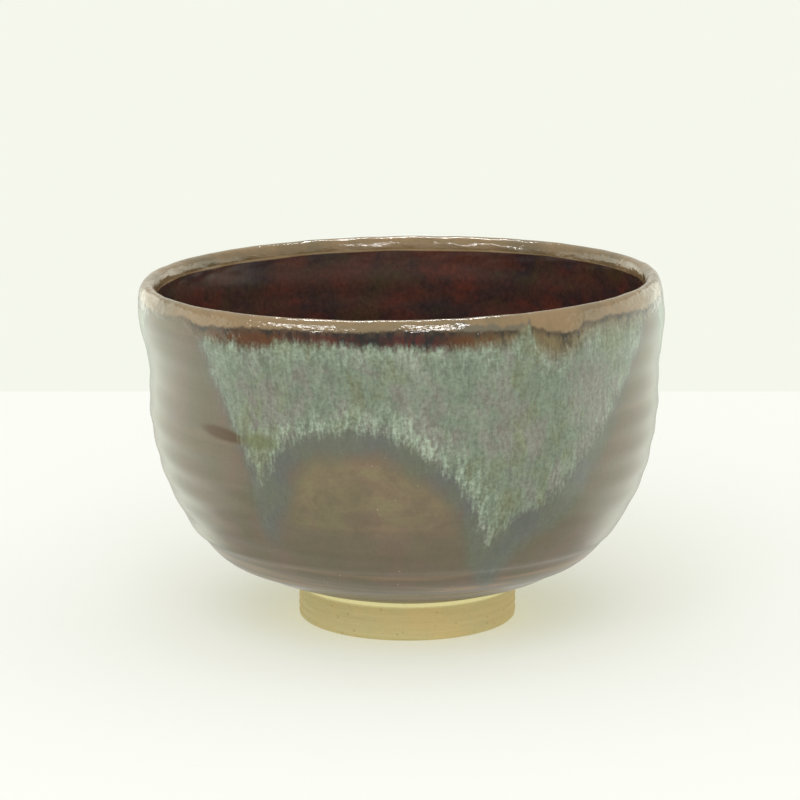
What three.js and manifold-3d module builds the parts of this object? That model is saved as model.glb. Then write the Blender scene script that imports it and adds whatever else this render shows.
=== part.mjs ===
// A hand-thrown matcha bowl: a stoneware body on an upright foot ring, under a coat of glaze inside and
// out, a band of glaze over the lip, and three ladled pours of a paler glaze that run down the outside.
//
// Millimetres, +Z up. The origin is on the surface that the bowl stands on, on the axis of the bowl, and
// the front is towards -Y.

import * as THREE from 'three';
import { mergeVertices } from 'three/addons/utils/BufferGeometryUtils.js';
import Module from 'manifold-3d';

const wasm = await Module();
wasm.setup();

// ---- Driving sizes ------------------------------------------------------------------------------

const RIM_RADIUS = 60;          // widest point over the glaze, in the roll under the lip
const HEIGHT = 80;              // table to lip, before the rim's slight tilt
const FOOT_RADIUS = 25.2;       // outside of the foot ring
const FOOT_HEIGHT = 7.9;        // table to the underside of the bowl
const FOOT_WALL = 5.2;          // width of the face that the bowl stands on, chamfers included
const FOOT_UNDERCUT = 1.4;      // how much thicker the foot ring is at its top, inside
const FOOT_CHAMFER = 0.8;       // both lower edges of the foot ring
const LIP_WIDTH = 4.2;          // across the lip, over the glaze
const LIP_RISE_OUTSIDE = 5;     // height of the lip's rounding outside, down to the edge of the band
const LIP_RISE_INSIDE = 3;      // height of the lip's rounding inside, down to the edge of the band
const HIP_WALL = 5.5;           // clay wall where it turns in towards the foot
const FLOOR = 6;                // clay between the inside and the underside, at the middle
const GLAZE = 0.6;              // the coats inside, outside and over the lip
const POUR = 0.4;               // the poured glaze on top of the outside coat
const BOND_GAP = 0.05;          // clearance kept between two bodies that are bonded
const POUR_GAP = 0.15;          // the same under a pour, whose border crosses the coat's facets
const POUR_SETBACK = 1;         // from the edge of the lip's band down to the top of a pour

// How far the hand-made form is from a true turned one.
const FOOT_SHIFT = 1.1;         // the foot's middle stands this far to the right of the bowl's axis
const BELLY_SHIFT = 0.3;        // the belly's middle
const RIM_SHIFT = -0.6;         // the rim's middle, which is to the left
const RIM_TILT = 0.95;          // the rim is this much higher at the right, and lower at the left
const RIM_FALL = 0.7;           // the rim is this much lower at the back than at the front
const TILT_POWER = 3;           // how late on the way up the tilt comes in
const BELLY_STARTS = 2;         // in foot heights: where the belly's shift is reached
const RIM_STARTS = 0.75;        // share of the height where the wall starts to lean to the rim's shift

// ---- Fineness -----------------------------------------------------------------------------------

const SEGMENTS = 60;            // round the bowl
const STEPS_PER_SPAN = 2;       // between two points of an outline
const LIP_STEPS = 3;            // on each side of the lip's crest
const BORDER_DEGREES = 1.5;     // between two points of a pour's border
const MERGE_DISTANCE = 1e-4;    // points closer than this are one point
const WEDGE_INNER = 0.1;        // in rim radii: where the wedge that cuts a pour starts
const WEDGE_OUTER = 2;          // in rim radii: where it ends

// ---- Outlines -----------------------------------------------------------------------------------

// The clay outside, from the foot to the lip: the share of the way out from the foot to the rim, and the
// share of the way up from the top of the foot to where the lip's rounding starts. The second point is the
// glaze line.
const WALL_OUTLINE = [
  [0.000, 0.000],
  [0.088, 0.035],
  [0.302, 0.076],
  [0.586, 0.167],
  [0.835, 0.368],
  [0.939, 0.575],
  [0.953, 0.787],
  [1.000, 0.952],
  [0.997, 1.000],
];
const GLAZE_LINE = 1;           // that outline's point where the coat outside begins

// The lower border of each pour: degrees round from the front towards the right, and the share of the way
// up from the glaze line to the edge of the lip's band.
const POURS = {
  poured_glaze_front: [
    [-45, 0.94], [-42, 0.77], [-36, 0.63], [-33, 0.35], [-27, 0.44], [-21, 0.63], [-11, 0.675],
    [-2, 0.645], [6, 0.54], [11, 0.44], [17, 0.29], [24, 0.14], [32, 0.26], [40, 0.35], [47, 0.52],
    [55, 0.72], [63, 0.91],
  ],
  poured_glaze_right: [
    [72, 0.93], [80, 0.66], [90, 0.40], [96, 0.31], [105, 0.47], [114, 0.63], [123, 0.68],
    [132, 0.57], [141, 0.36], [147, 0.24], [156, 0.33], [165, 0.55], [174, 0.78], [180, 0.92],
  ],
  poured_glaze_left: [
    [189, 0.92], [198, 0.68], [207, 0.44], [213, 0.27], [222, 0.38], [231, 0.60], [243, 0.70],
    [252, 0.65], [261, 0.46], [267, 0.33], [276, 0.52], [282, 0.73], [288, 0.93],
  ],
};

// ---- Colours ------------------------------------------------------------------------------------

const FINISHES = {
  bare_clay: { color: 0xd2c08d, roughness: 0.85, metalness: 0 },
  dark_glaze: { color: 0x3c231e, roughness: 0.12, metalness: 0 },
  brown_glaze: { color: 0x77685c, roughness: 0.3, metalness: 0 },
  lip_glaze: { color: 0x8d7a66, roughness: 0.25, metalness: 0 },
  pale_glaze: { color: 0x8fa596, roughness: 0.25, metalness: 0 },
};

// ---- The section of the clay, worked out from the sizes -----------------------------------------

const COAT = GLAZE + BOND_GAP;
const clayRimRadius = RIM_RADIUS - COAT;
const clayLipTop = HEIGHT - COAT;
const lipFootOutside = HEIGHT - LIP_RISE_OUTSIDE;
const lipFootInside = HEIGHT - LIP_RISE_INSIDE;
const clayLipWidth = LIP_WIDTH - 2 * COAT;

/** Points along a smooth curve through the given points, without the first one. */
function throughPoints(points, lastSpan = points.length - 1) {
  const curve = new THREE.CatmullRomCurve3(
    points.map((p) => new THREE.Vector3(p.x, p.y, 0)), false, 'centripetal');
  const spans = points.length - 1;
  const line = [];
  for (let step = 1; step <= lastSpan * STEPS_PER_SPAN; step += 1) {
    const at = curve.getPoint(step / (spans * STEPS_PER_SPAN));
    line.push(new THREE.Vector2(at.x, at.y));
  }
  return line;
}

/** A quarter of an ellipse about (x, y), from one quarter turn to the next, without its first point. */
function quarterEllipse(x, y, halfWidth, rise, fromAngle) {
  const line = [];
  for (let step = 1; step <= LIP_STEPS; step += 1) {
    const angle = fromAngle + (step / LIP_STEPS) * (Math.PI / 2);
    line.push(new THREE.Vector2(x + halfWidth * Math.cos(angle), y + rise * Math.sin(angle)));
  }
  return line;
}

/** The wall's thickness at a share of the way up: full at the hip, and the lip's own at the lip. */
function wallThickness(share) {
  return THREE.MathUtils.lerp(HIP_WALL, clayLipWidth, share);
}

const outlineOutside = WALL_OUTLINE.map(([out, up]) => new THREE.Vector2(
  THREE.MathUtils.lerp(FOOT_RADIUS, clayRimRadius, out),
  THREE.MathUtils.lerp(FOOT_HEIGHT, lipFootOutside, up)));

/** The outline inside: the outside one moved in by the wall's thickness, then down to the middle. */
function outlineInside(start) {
  const points = [start];
  for (let i = outlineOutside.length - 3; i > GLAZE_LINE; i -= 1) {
    const along = outlineOutside[i + 1].clone().sub(outlineOutside[i - 1]).normalize();
    const inward = new THREE.Vector2(-along.y, along.x);
    points.push(outlineOutside[i].clone().addScaledVector(inward, wallThickness(WALL_OUTLINE[i][1])));
  }
  const last = points[points.length - 1];
  const middle = new THREE.Vector2(0, FOOT_HEIGHT + FLOOR);
  return [...points, middle, new THREE.Vector2(-last.x, last.y)];
}

const flare = [outlineOutside[0], ...throughPoints(outlineOutside).slice(0, GLAZE_LINE * STEPS_PER_SPAN)];
const wall = throughPoints(outlineOutside).slice(GLAZE_LINE * STEPS_PER_SPAN);
const wallTop = wall[wall.length - 1];
const lipMiddle = wallTop.x - clayLipWidth / 2;
const lip = [
  ...quarterEllipse(lipMiddle, wallTop.y, clayLipWidth / 2, clayLipTop - wallTop.y, 0),
  ...quarterEllipse(lipMiddle, lipFootInside, clayLipWidth / 2, clayLipTop - lipFootInside, Math.PI / 2),
];
const insidePoints = outlineInside(lip[lip.length - 1]);
const inside = throughPoints(insidePoints, insidePoints.length - 2);
inside[inside.length - 1].x = 0;

// The clay's glazed surface as one line, from the glaze line over the lip to the middle of the floor.
const surface = [flare[flare.length - 1], ...wall, ...lip, ...inside];
const AT_WALL_TOP = wall.length;
const AT_LIP_END = AT_WALL_TOP + lip.length;
const AT_MIDDLE = surface.length - 1;

/** The direction out of the clay at a point of the surface line; straight up at the middle of the floor. */
function outOfClay(index) {
  if (index === AT_MIDDLE) {
    return new THREE.Vector2(0, 1);
  }
  const before = surface[Math.max(index - 1, 0)];
  const along = surface[index + 1].clone().sub(before).normalize();
  return new THREE.Vector2(along.y, -along.x);
}

/** The stretch of the surface line between two of its points, moved out of the clay by a distance. */
function offsetSurface(from, to, distance) {
  const line = [];
  for (let i = from; i <= to; i += 1) {
    line.push(surface[i].clone().addScaledVector(outOfClay(i), distance));
  }
  return line;
}

/** The same line with an end moved back along it by the bond gap, so that it clears the next coat. */
function drawBack(line, atStart, atEnd) {
  const moved = line.map((p) => p.clone());
  const last = line.length - 1;
  if (atStart) {
    moved[0].lerp(line[1], BOND_GAP / line[0].distanceTo(line[1]));
  }
  if (atEnd) {
    moved[last].lerp(line[last - 1], BOND_GAP / line[last].distanceTo(line[last - 1]));
  }
  return moved;
}

// ---- Bodies -------------------------------------------------------------------------------------

const bowl = new THREE.Group();

/** How far the middle of the bowl stands to the right of its axis at a height. */
function sidewaysShift(height) {
  const { lerp, smoothstep } = THREE.MathUtils;
  const footToBelly = smoothstep(height, FOOT_HEIGHT, BELLY_STARTS * FOOT_HEIGHT);
  const bellyToRim = smoothstep(height, RIM_STARTS * HEIGHT, HEIGHT);
  return lerp(lerp(FOOT_SHIFT, BELLY_SHIFT, footToBelly), RIM_SHIFT, bellyToRim);
}

/** Moves a turned geometry's points to the hand-made form: shifted to the right, with the rim tilted. */
function handMade(geometry) {
  const place = geometry.attributes.position;
  for (let i = 0; i < place.count; i += 1) {
    const x = place.getX(i);
    const z = place.getZ(i);
    const across = x / RIM_RADIUS;
    const back = place.getY(i) / RIM_RADIUS;
    const tilt = RIM_TILT * across - (RIM_FALL / 2) * (1 + back);
    place.setX(i, x + sidewaysShift(z));
    place.setZ(i, z + tilt * (z / HEIGHT) ** TILT_POWER);
  }
  geometry.computeVertexNormals();
  return geometry;
}

function addBody(name, geometry, finish) {
  const mesh = new THREE.Mesh(handMade(geometry), new THREE.MeshStandardMaterial(FINISHES[finish]));
  mesh.name = name;
  bowl.add(mesh);
}

/** A body turned about +Z from its half section: radius across, height up, clay on the line's left. */
function turned(section) {
  return new THREE.LatheGeometry(section, SEGMENTS).rotateX(Math.PI / 2);
}

/** A coat on a stretch of the clay's surface: out along its clay side, and back along its face. */
function coat(from, to) {
  const endsOnAxis = to === AT_MIDDLE;
  const under = drawBack(offsetSurface(from, to, BOND_GAP), from > 0, !endsOnAxis);
  const face = drawBack(offsetSurface(from, to, COAT), from > 0, !endsOnAxis);
  const section = [...under.reverse(), ...face];
  if (!endsOnAxis) {
    section.push(section[0].clone());
  }
  return turned(section);
}

function clayBowl() {
  const underside = [new THREE.Vector2(0, FOOT_HEIGHT)];
  return turned([...underside, ...flare, ...wall, ...lip, ...inside]);
}

function footRing() {
  const inner = FOOT_RADIUS - FOOT_WALL;
  const top = FOOT_HEIGHT - BOND_GAP;
  const section = [
    [inner + FOOT_CHAMFER, 0],
    [FOOT_RADIUS - FOOT_CHAMFER, 0],
    [FOOT_RADIUS, FOOT_CHAMFER],
    [FOOT_RADIUS, top],
    [inner - FOOT_UNDERCUT, top],
    [inner, FOOT_CHAMFER],
  ].map(([radius, height]) => new THREE.Vector2(radius, height));
  return turned([...section, section[0].clone()]);
}

/** The height of a pour's lower border at an angle, as a share of the glazed wall. */
function borderShare(border, degrees) {
  const next = border.findIndex(([angle], i) => i > 0 && angle >= degrees);
  const [fromAngle, fromShare] = border[next - 1];
  const [toAngle, toShare] = border[next];
  return THREE.MathUtils.mapLinear(degrees, fromAngle, toAngle, fromShare, toShare);
}

/** A closed geometry as a solid that can be cut. */
function toSolid(geometry) {
  geometry.deleteAttribute('normal');
  geometry.deleteAttribute('uv');
  const merged = mergeVertices(geometry, MERGE_DISTANCE);
  const vertProperties = new Float32Array(merged.attributes.position.array);
  const triVerts = new Uint32Array(merged.index.array);
  const mesh = new wasm.Mesh({ numProp: 3, vertProperties, triVerts });
  mesh.merge();
  return new wasm.Manifold(mesh);
}

/** The geometry of a cut solid. */
function toGeometry(solid) {
  const mesh = solid.getMesh();
  const geometry = new THREE.BufferGeometry();
  geometry.setAttribute('position', new THREE.BufferAttribute(mesh.vertProperties, mesh.numProp));
  geometry.setIndex(new THREE.BufferAttribute(mesh.triVerts, 1));
  return geometry;
}

/** A wedge about +Z that holds what lies above a border, from near the axis to outside the bowl. */
function wedgeAbove(border) {
  const fromAngle = border[0][0];
  const toAngle = border[border.length - 1][0];
  const columns = Math.round((toAngle - fromAngle) / BORDER_DEGREES);
  const wedge = new THREE.BoxGeometry(1, 1, 1, columns, 1, 1);
  const place = wedge.attributes.position;
  for (let i = 0; i < place.count; i += 1) {
    const degrees = THREE.MathUtils.lerp(fromAngle, toAngle, place.getX(i) + 0.5);
    const low = THREE.MathUtils.lerp(surface[0].y, wallTop.y, borderShare(border, degrees));
    const height = place.getY(i) > 0 ? HEIGHT : low;
    const radius = RIM_RADIUS * (place.getZ(i) > 0 ? WEDGE_OUTER : WEDGE_INNER);
    const angle = THREE.MathUtils.degToRad(degrees);
    place.setXYZ(i, radius * Math.sin(angle), -radius * Math.cos(angle), height);
  }
  return toSolid(wedge);
}

/** A pour: the part above its border of a thin shell round the whole outside coat. */
function pour(border) {
  const under = offsetSurface(0, AT_WALL_TOP, COAT + POUR_GAP);
  const face = offsetSurface(0, AT_WALL_TOP, COAT + POUR_GAP + POUR);
  for (const line of [under, face]) {
    const last = line.length - 1;
    line[last].lerp(line[last - 1], POUR_SETBACK / line[last].distanceTo(line[last - 1]));
  }
  const shell = toSolid(turned([...under.reverse(), ...face, under[0].clone()]));
  return toGeometry(shell.intersect(wedgeAbove(border)));
}

addBody('clay_bowl', clayBowl(), 'bare_clay');
addBody('foot_ring', footRing(), 'bare_clay');
addBody('outer_glaze', coat(0, AT_WALL_TOP), 'brown_glaze');
addBody('rim_glaze', coat(AT_WALL_TOP, AT_LIP_END), 'lip_glaze');
addBody('inner_glaze', coat(AT_LIP_END, AT_MIDDLE), 'dark_glaze');
for (const [name, border] of Object.entries(POURS)) {
  addBody(name, pour(border), 'pale_glaze');
}

export default bowl;
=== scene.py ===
"""A hand-thrown matcha bowl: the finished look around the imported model.

A stoneware body and its foot ring carry a coat of glaze outside and inside, a glazed lip, and three
poured runs of a paler glaze. Sizes are in millimetres until a mesh is finished; the scene is in metres,
+Z up, front towards -Y.
"""

import logging
import math
from dataclasses import dataclass
from enum import Enum

import bmesh
import bpy
import numpy as np
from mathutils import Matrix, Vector
from mathutils.geometry import interpolate_bezier


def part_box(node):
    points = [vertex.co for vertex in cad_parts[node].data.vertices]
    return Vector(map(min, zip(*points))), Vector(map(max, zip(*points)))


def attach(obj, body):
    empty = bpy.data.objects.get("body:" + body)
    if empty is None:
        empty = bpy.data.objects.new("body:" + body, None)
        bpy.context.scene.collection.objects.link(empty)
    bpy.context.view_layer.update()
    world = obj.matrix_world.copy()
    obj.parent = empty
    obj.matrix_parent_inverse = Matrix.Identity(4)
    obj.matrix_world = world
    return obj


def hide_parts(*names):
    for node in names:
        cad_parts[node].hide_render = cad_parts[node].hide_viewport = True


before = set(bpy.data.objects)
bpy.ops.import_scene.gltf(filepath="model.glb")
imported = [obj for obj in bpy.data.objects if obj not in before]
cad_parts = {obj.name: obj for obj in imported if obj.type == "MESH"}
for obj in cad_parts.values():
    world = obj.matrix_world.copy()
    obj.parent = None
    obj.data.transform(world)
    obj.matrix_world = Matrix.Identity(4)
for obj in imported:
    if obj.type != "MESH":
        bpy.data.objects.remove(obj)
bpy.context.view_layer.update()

MM = 0.001
BODY = "root"

log = logging.getLogger("matcha_bowl")


# ---- The form ------------------------------------------------------------------------------------


@dataclass(frozen=True)
class BowlForm:
    """The driving sizes of the bowl, in millimetres, and how far its form is from a true turned one."""

    foot_radius: float
    foot_height: float
    foot_shift: float
    rim_radius: float
    height: float
    foot_wall: float = 5.2
    foot_undercut: float = 1.4
    lip_width: float = 4.2
    lip_rise_outside: float = 5.0
    lip_rise_inside: float = 3.0
    hip_wall: float = 5.5
    floor: float = 6.0
    glaze: float = 0.65
    bond_gap: float = 0.05
    belly_shift: float = 0.3
    rim_shift: float = -0.6
    rim_tilt: float = 0.95
    rim_fall: float = 0.7
    tilt_power: int = 3
    shift_starts: float = 0.75
    wall_outline: tuple[tuple[float, float], ...] = (
        (0.000, 0.000), (0.088, 0.035), (0.302, 0.076), (0.586, 0.167), (0.835, 0.368),
        (0.939, 0.575), (0.953, 0.787), (1.000, 0.952), (0.997, 1.000),
    )

    @classmethod
    def from_frame(cls) -> "BowlForm":
        """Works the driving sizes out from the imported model.

        Returns:
            The form whose foot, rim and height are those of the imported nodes.
        """
        foot_low, foot_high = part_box("foot_ring")
        coat_low, coat_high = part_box("outer_glaze")
        _, lip_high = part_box("rim_glaze")
        return cls(
            foot_radius=(foot_high.x - foot_low.x) / 2 / MM,
            foot_height=foot_high.z / MM + cls.bond_gap,
            foot_shift=(foot_high.x + foot_low.x) / 2 / MM,
            rim_radius=(coat_high.y - coat_low.y) / 2 / MM,
            height=round(lip_high.z / MM - cls.rim_tilt + cls.rim_fall / 2),
        )

    def sideways_shift(self, height: np.ndarray) -> np.ndarray:
        """How far the middle of the bowl stands to the right of its axis at a height, in millimetres.

        Args:
            height: Heights over the table.

        Returns:
            The shifts.
        """
        to_belly = smoothstep(height, self.foot_height, 2 * self.foot_height)
        to_rim = smoothstep(height, self.shift_starts * self.height, self.height)
        lower = self.foot_shift + (self.belly_shift - self.foot_shift) * to_belly
        return lower + (self.rim_shift - lower) * to_rim

    def hand_made(self, points: np.ndarray) -> np.ndarray:
        """Moves points of the turned form to the hand-made one.

        Args:
            points: One row of x, y and z for each point, in millimetres.

        Returns:
            The moved points, with the foot and belly to the right and the rim tilted.
        """
        moved = points.copy()
        across, back = points[:, 0] / self.rim_radius, points[:, 1] / self.rim_radius
        up = (points[:, 2] / self.height) ** self.tilt_power
        moved[:, 0] += self.sideways_shift(points[:, 2])
        moved[:, 2] += (self.rim_tilt * across - self.rim_fall * (1.0 + back) / 2) * up
        return moved


def smoothstep(value: np.ndarray, low: float, high: float) -> np.ndarray:
    """A smooth step from 0 at low to 1 at high."""
    share = np.clip((value - low) / (high - low), 0.0, 1.0)
    return share * share * (3.0 - 2.0 * share)


def curve_through(points: list[Vector], steps: int) -> list[Vector]:
    """Points along a centripetal Catmull-Rom curve.

    Args:
        points: The points that the curve passes through.
        steps: How many points stand between two of them.

    Returns:
        The points of the curve, both ends included.
    """
    padded = [2 * points[0] - points[1], *points, 2 * points[-1] - points[-2]]
    line = [points[0]]
    for before, start, end, after in zip(padded, padded[1:], padded[2:], padded[3:]):
        span_in = (start - before).length ** 0.5
        span = (end - start).length ** 0.5
        span_out = (after - end).length ** 0.5
        leave = (start - before) / span_in - (end - before) / (span_in + span) + (end - start) / span
        arrive = (end - start) / span - (after - start) / (span + span_out) + (after - end) / span_out
        line += interpolate_bezier(start, start + leave * span / 3, end - arrive * span / 3, end, steps)[1:]
    return line


class ClayLine:
    """The clay's half section as one line: under the foot, up the wall, over the lip and down to the floor.

    Every glazed piece lies along a stretch of it. A place on it is its distance in millimetres from the
    glaze line, where the glaze ends over the foot.
    """

    STEP = 0.25
    OUTLINE_STEPS = 40

    def __init__(self, form: BowlForm) -> None:
        """Draws the line of a form."""
        self.form = form
        clay_rim = form.rim_radius - form.glaze
        clay_width = form.lip_width - 2 * form.glaze
        spring_outside = form.height - form.lip_rise_outside
        spring_inside = form.height - form.lip_rise_inside
        crest = form.height - form.glaze
        outline = [
            Vector((
                form.foot_radius + out * (clay_rim - form.foot_radius),
                form.foot_height + up * (spring_outside - form.foot_height),
            ))
            for out, up in form.wall_outline
        ]
        steps = self.OUTLINE_STEPS
        wall = curve_through(outline, steps)
        glaze_line = wall[steps - 1]
        middle = wall[-1].x - clay_width / 2
        half = clay_width / 2
        outer_lip = quarter_ellipse(Vector((middle, wall[-1].y)), half, crest - wall[-1].y, 0)
        inner_lip = quarter_ellipse(Vector((middle, spring_inside)), half, crest - spring_inside, 1)
        inside_points = [inner_lip[-1]]
        for i in range(len(outline) - 3, 1, -1):
            along = (outline[i + 1] - outline[i - 1]).normalized()
            share = form.wall_outline[i][1]
            thickness = form.hip_wall + (clay_width - form.hip_wall) * share
            inside_points.append(outline[i] + thickness * Vector((-along.y, along.x)))
        floor_middle = Vector((0, form.foot_height + form.floor))
        inside_points += [floor_middle, Vector((-inside_points[-1].x, inside_points[-1].y))]
        inside = curve_through(inside_points, steps)[: 1 - steps]
        stretches = [
            [Vector((0, form.foot_height)), wall[0]], wall,
            [wall[-1], *outer_lip], [outer_lip[-1], *inner_lip], inside,
        ]
        line = [stretches[0][0]]
        marks = [0]
        for stretch in stretches:
            line += even_steps(stretch, self.STEP)[1:]
            marks.append(len(line) - 1)
        place = np.array([tuple(point) for point in line])
        gaps = np.hypot(*np.diff(place, axis=0).T)
        along = np.concatenate([[0.0], np.cumsum(gaps)])
        zero = along[marks[1]] + arc_length([w for w in wall if w.y <= glaze_line.y + 1e-9])
        self.along = along - zero
        self.radius, self.up = place.T
        direction = np.gradient(place, self.along, axis=0)
        direction /= np.linalg.norm(direction, axis=1)[:, None]
        self.out_radius, self.out_up = direction[:, 1], -direction[:, 0]
        self.start, self.foot_top, self.wall_top, self.crest, self.lip_end, self.middle = self.along[marks]
        self.out_radius[-1], self.out_up[-1] = 0.0, 1.0

    def place(self, along: np.ndarray, depth: np.ndarray) -> tuple[np.ndarray, np.ndarray]:
        """The radius and height of points on the line, moved out of the clay.

        Args:
            along: Distances from the glaze line.
            depth: Distances out of the clay.

        Returns:
            The radii and the heights.
        """
        radius, up, out_radius, out_up = (
            np.interp(along, self.along, values)
            for values in (self.radius, self.up, self.out_radius, self.out_up)
        )
        return np.maximum(radius + depth * out_radius, 0.0), up + depth * out_up

    def along_at_height(self, height: np.ndarray) -> np.ndarray:
        """The place on the outside wall at each height."""
        outside = (self.along >= self.foot_top) & (self.along <= self.crest)
        return np.interp(height, self.up[outside], self.along[outside])

    def along_at_share(self, share: np.ndarray) -> np.ndarray:
        """The place on the outside wall at each share of the way up from the glaze line to the lip."""
        low, high = np.interp([0.0, self.wall_top], self.along, self.up)
        return self.along_at_height(low + np.asarray(share) * (high - low))


def quarter_ellipse(
    middle: Vector, half_width: float, rise: float, quarter: int, steps: int = 48,
) -> list[Vector]:
    """A quarter of an ellipse, without its first point.

    Args:
        middle: The middle of the ellipse.
        half_width: Half its width.
        rise: Half its height.
        quarter: How many quarter turns it starts after the right-hand end.
        steps: How many points it has.

    Returns:
        The points.
    """
    angles = [(quarter + (step + 1) / steps) * math.pi / 2 for step in range(steps)]
    return [middle + Vector((half_width * math.cos(a), rise * math.sin(a))) for a in angles]


def arc_length(line: list[Vector]) -> float:
    """The length of a line through points."""
    return sum((b - a).length for a, b in zip(line, line[1:]))


def even_steps(line: list[Vector], step: float) -> list[Vector]:
    """The same line with its points an even distance apart, close to a step.

    Args:
        line: The line's points.
        step: The wanted distance between two of them, in millimetres.

    Returns:
        The new points, both ends included.
    """
    place = np.array([tuple(point) for point in line])
    along = np.concatenate([[0.0], np.cumsum(np.hypot(*np.diff(place, axis=0).T))])
    stops = np.linspace(0.0, along[-1], max(2, round(along[-1] / step) + 1))
    return [Vector((np.interp(s, along, place[:, 0]), np.interp(s, along, place[:, 1]))) for s in stops]


# ---- The glaze's runs, the lip's band and the marks ----------------------------------------------


@dataclass(frozen=True)
class PourPoint:
    """A point of a pour's lower border."""

    degrees: float
    share: float
    halo: float = 4.5


@dataclass(frozen=True)
class Pour:
    """A ladled run of the paler glaze: its lower border, from the front towards the right."""

    name: str
    border: tuple[PourPoint, ...]
    thickness: float = 0.16
    bead: float = 0.02

    @property
    def span(self) -> tuple[float, float]:
        """The degrees between which the pour lies."""
        return self.border[0].degrees, self.border[-1].degrees

    def tips(self) -> tuple[float, float]:
        """The degrees of the first and the last of its tips, which hang lower than their neighbours."""
        shares = [point.share for point in self.border]
        low = [
            self.border[i].degrees
            for i in range(1, len(shares) - 1)
            if shares[i] < shares[i - 1] and shares[i] <= shares[i + 1]
        ]
        return low[0], low[-1]


@dataclass(frozen=True)
class BandPoint:
    """What the lip's band is like at an angle: how far down the lip's colour and the band under it reach."""

    degrees: float
    lip_drop: float
    band_drop: float
    darkness: float


@dataclass(frozen=True)
class IronMark:
    """A smear of iron-rich glaze on the wall."""

    degrees: float
    height: float
    half_width: float
    half_height: float
    slope: float
    strength: float


POURS = (
    Pour("poured_glaze_front", (
        PourPoint(-47.5, 1.02, 1.2), PourPoint(-46.3, 0.93, 1.2), PourPoint(-43.5, 0.76, 1.3),
        PourPoint(-40.0, 0.67, 1.5), PourPoint(-37.0, 0.56, 2.4), PourPoint(-35.4, 0.45, 4.6),
        PourPoint(-33.8, 0.28, 9.5), PourPoint(-28.7, 0.41, 6.6), PourPoint(-25.7, 0.54, 4.8),
        PourPoint(-21.5, 0.62, 4.0), PourPoint(-11.0, 0.64, 4.4), PourPoint(-4.5, 0.64, 4.2),
        PourPoint(0.0, 0.605, 3.6), PourPoint(7.0, 0.535, 3.2), PourPoint(12.0, 0.455, 3.2),
        PourPoint(15.7, 0.33, 3.0), PourPoint(18.5, 0.22, 5.4), PourPoint(23.8, 0.11, 12.5),
        PourPoint(27.2, 0.225, 9.5), PourPoint(31.5, 0.30, 8.2), PourPoint(39.5, 0.37, 7.6),
        PourPoint(45.5, 0.495, 6.2), PourPoint(51.0, 0.63, 3.4), PourPoint(56.4, 0.75, 2.4),
        PourPoint(62.0, 0.88, 2.0), PourPoint(65.5, 1.02, 2.0),
    )),
    Pour("poured_glaze_right", (
        PourPoint(70.0, 1.02, 2.2), PourPoint(73.0, 0.90, 2.2), PourPoint(80.0, 0.66), PourPoint(90.0, 0.40),
        PourPoint(96.0, 0.31), PourPoint(105.0, 0.47), PourPoint(114.0, 0.63), PourPoint(123.0, 0.68),
        PourPoint(132.0, 0.57), PourPoint(141.0, 0.36), PourPoint(147.0, 0.24), PourPoint(156.0, 0.33),
        PourPoint(165.0, 0.55), PourPoint(174.0, 0.78), PourPoint(182.0, 1.02, 2.0),
    )),
    Pour("poured_glaze_left", (
        PourPoint(187.0, 1.02, 2.2), PourPoint(190.0, 0.90, 2.2), PourPoint(198.0, 0.68),
        PourPoint(207.0, 0.44), PourPoint(213.0, 0.27), PourPoint(222.0, 0.38),
        PourPoint(231.0, 0.60), PourPoint(243.0, 0.70),
        PourPoint(252.0, 0.65), PourPoint(261.0, 0.46), PourPoint(267.0, 0.33), PourPoint(276.0, 0.52),
        PourPoint(282.0, 0.73), PourPoint(288.0, 0.93, 2.2), PourPoint(291.0, 1.02, 2.0),
    )),
)

BAND = (
    BandPoint(-62, 3.2, 3.5, 0.2), BandPoint(-52, 2.3, 3.2, 0.3), BandPoint(-48, 3.5, 5.6, 0.42),
    BandPoint(-42, 3.2, 6.5, 0.44), BandPoint(-37.5, 2.9, 6.5, 0.5), BandPoint(-36.8, 2.9, 5.5, 0.5),
    BandPoint(-35.5, 2.8, 6.9, 0.5), BandPoint(-28, 2.3, 6.6, 0.62), BandPoint(-27, 2.3, 5.0, 0.66),
    BandPoint(-24, 2.2, 4.7, 0.75), BandPoint(-7.5, 2.2, 5.5, 0.95), BandPoint(0, 1.8, 5.6, 1),
    BandPoint(6, 1.9, 6.2, 0.95), BandPoint(9, 2.1, 5.9, 0.75), BandPoint(14, 2.6, 6.2, 0.45),
    BandPoint(23.5, 2.9, 5.8, 0.25), BandPoint(25, 2.9, 4.0, 0.2), BandPoint(27.7, 2.2, 2.4, 0.1),
    BandPoint(28.2, 2.6, 5.0, 0.15), BandPoint(29.2, 3.3, 7.6, 0.12), BandPoint(33, 4.3, 9.8, 0.08),
    BandPoint(38, 4.9, 8.8, 0.08), BandPoint(40.2, 4.6, 8.0, 0.12), BandPoint(41.2, 3.3, 6.4, 0.15),
    BandPoint(46, 3.4, 5.2, 0.15), BandPoint(48, 2.8, 5.3, 0.15), BandPoint(58, 3.4, 6.0, 0.15),
    BandPoint(66, 4.0, 5.8, 0.15), BandPoint(80, 3.0, 4.6, 0.4), BandPoint(92, 2.4, 5.6, 0.9),
    BandPoint(112, 2.2, 5.4, 1), BandPoint(126, 2.8, 6.3, 0.5), BandPoint(140, 3.4, 5.2, 0.2),
    BandPoint(158, 2.4, 5.4, 0.8), BandPoint(176, 2.2, 5.0, 1), BandPoint(188, 3.0, 4.2, 0.3),
    BandPoint(204, 2.4, 5.7, 0.9), BandPoint(226, 2.2, 5.2, 1), BandPoint(238, 2.9, 6.4, 0.5),
    BandPoint(254, 3.2, 5.4, 0.3), BandPoint(270, 2.5, 5.2, 0.7), BandPoint(284, 3.0, 4.6, 0.4),
    BandPoint(298, 3.2, 3.5, 0.2),
)

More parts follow.
